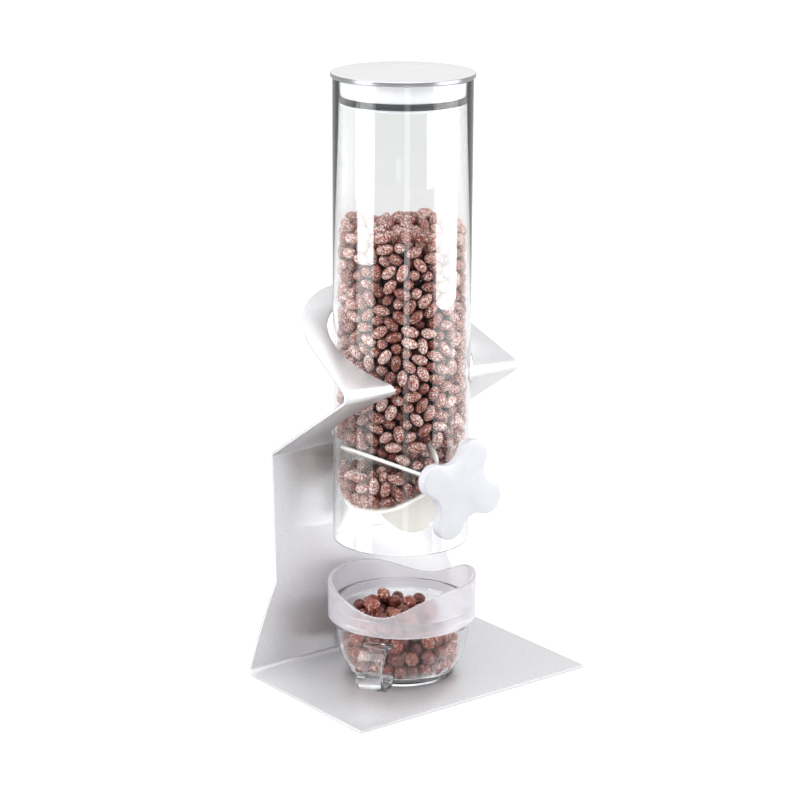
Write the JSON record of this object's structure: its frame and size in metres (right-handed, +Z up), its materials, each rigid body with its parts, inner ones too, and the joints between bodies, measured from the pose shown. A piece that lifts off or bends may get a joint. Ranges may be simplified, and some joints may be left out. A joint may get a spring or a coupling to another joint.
{
  "type": "dry food dispenser",
  "caption": "Hand-turned dry food dispenser: clear canister in a folded steel stand, bladed portion wheel on a lobed knob, frosted-rim cup with a ring handle.",
  "frame": {"origin": "under the middle of the bounding box, in the plane of the pads' undersides; the canister's axis is at y = 7.95 mm", "axes": "+Z up along the canister, +X to the right, -Y to the front where the knob is"},
  "size_m": [0.1876, 0.1455, 0.401],
  "materials": {
    "stand_steel": "satin",
    "pad_rubber": "matte",
    "clear_acrylic": "clear gloss",
    "frosted_acrylic": "frosted",
    "bearing_plastic": "matte",
    "bright_steel": "bright",
    "blade_silicone": "satin silicone",
    "knob_plastic": "satin",
    "lid_metal": "satin",
    "plug_plastic": "satin",
    "seal_rubber": "matte"
  },
  "bodies": {
    "stand": {"stand_sheet": "stand_steel", "foot_pad_front_left": "pad_rubber", "foot_pad_front_right": "pad_rubber", "foot_pad_rear_left": "pad_rubber", "foot_pad_rear_right": "pad_rubber", "canister_tube": "clear_acrylic", "front_bushing": "bearing_plastic", "front_bushing_nut": "bright_steel", "rear_bushing": "bearing_plastic", "rear_spacer": "bearing_plastic", "rear_bushing_nut": "bright_steel"},
    "wheel": {"drive_shaft": "bright_steel", "rotor_hub": "blade_silicone", "blade_1": "blade_silicone", "blade_2": "blade_silicone", "blade_3": "blade_silicone", "blade_4": "blade_silicone", "blade_5": "blade_silicone", "blade_6": "blade_silicone", "knob": "knob_plastic", "knob_set_screw": "bright_steel", "shaft_clip": "bright_steel"},
    "lid": {"lid_cap": "lid_metal", "lid_plug": "plug_plastic", "lid_seal": "seal_rubber"},
    "cup": {"cup_bowl": "clear_acrylic", "cup_collar": "frosted_acrylic", "cup_handle": "clear_acrylic"}
  },
  "joints": [
    {"name": "wheel_turn", "type": "hinge", "parent": "stand", "child": "wheel", "pos_m": [0, 0.00795, 0.1397], "axis": [0, -1, 0], "continuous": true},
    {"name": "lid_lift", "type": "slide", "parent": "stand", "child": "lid", "axis": [0, 0, 1], "range_m": [0, 0.06]},
    {"name": "cup_pull", "type": "slide", "parent": "stand", "child": "cup", "axis": [0, -1, 0], "range_m": [0, 0.1]}
  ]
}
